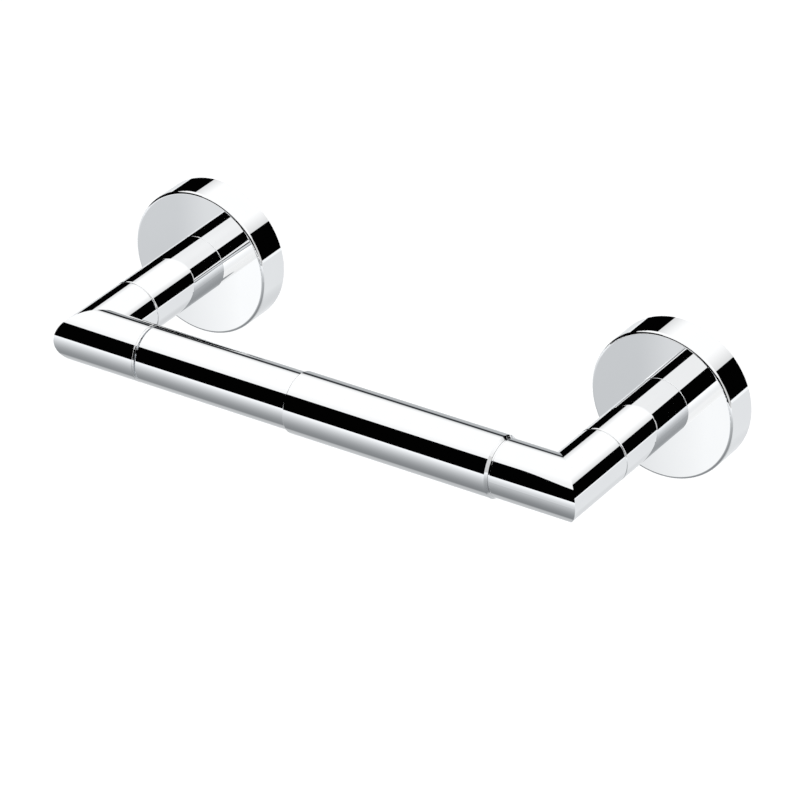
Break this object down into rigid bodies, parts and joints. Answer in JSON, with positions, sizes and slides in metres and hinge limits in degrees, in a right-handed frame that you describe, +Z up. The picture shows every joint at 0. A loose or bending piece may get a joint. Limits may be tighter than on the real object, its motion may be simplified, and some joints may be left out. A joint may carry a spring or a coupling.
{
  "type": "toilet paper holder",
  "caption": "Wall-mounted toilet paper holder: round flanged posts with square-mitred elbows and a sprung telescoping roller between them, in polished chrome.",
  "frame": {"origin": "on the wall plane, midway between the two post axes, which is the centre of the screw hole pattern", "axes": "+X along the roller to the right as seen from in front, +Y into the wall, +Z up"},
  "size_m": [0.2246, 0.0795, 0.0506],
  "materials": {
    "polished_chrome": "mirror-polished plating",
    "zinc_plated_bracket": "dull zinc plating",
    "steel_fasteners": "plain plated steel",
    "brass_plug": "machined",
    "nylon_seat": "moulded nylon",
    "spring_steel": "drawn wire"
  },
  "bodies": {
    "root": {"left_flange_cover": "polished_chrome", "left_post": "polished_chrome", "left_elbow": "polished_chrome", "left_roller_socket": "polished_chrome", "left_wall_bracket": "zinc_plated_bracket", "left_post_bolt": "steel_fasteners", "left_lock_washer": "steel_fasteners", "left_post_stud": "steel_fasteners", "left_set_screw": "steel_fasteners", "left_elbow_plug": "brass_plug", "right_flange_cover": "polished_chrome", "right_post": "polished_chrome", "right_elbow": "polished_chrome", "right_roller_socket": "polished_chrome", "right_wall_bracket": "zinc_plated_bracket", "right_post_bolt": "steel_fasteners", "right_lock_washer": "steel_fasteners", "right_post_stud": "steel_fasteners", "right_set_screw": "steel_fasteners", "right_elbow_plug": "brass_plug"},
    "roller_outer": {"roller_outer_tube": "polished_chrome", "roller_right_tip": "polished_chrome", "roller_spring": "spring_steel"},
    "roller_inner": {"roller_inner_tube": "polished_chrome", "roller_left_tip": "polished_chrome", "roller_spring_seat": "nylon_seat"}
  },
  "joints": [
    {"name": "roller_spin", "type": "hinge", "parent": "root", "child": "roller_outer", "pos_m": [0, -0.0694, 0], "axis": [1, 0, 0], "continuous": true},
    {"name": "roller_compress", "type": "slide", "parent": "roller_outer", "child": "roller_inner", "axis": [1, 0, 0], "range_m": [0, 0.012], "stiffness_N_per_m": 300, "springref_m": -0.03, "deforming": ["roller_spring"]}
  ]
}
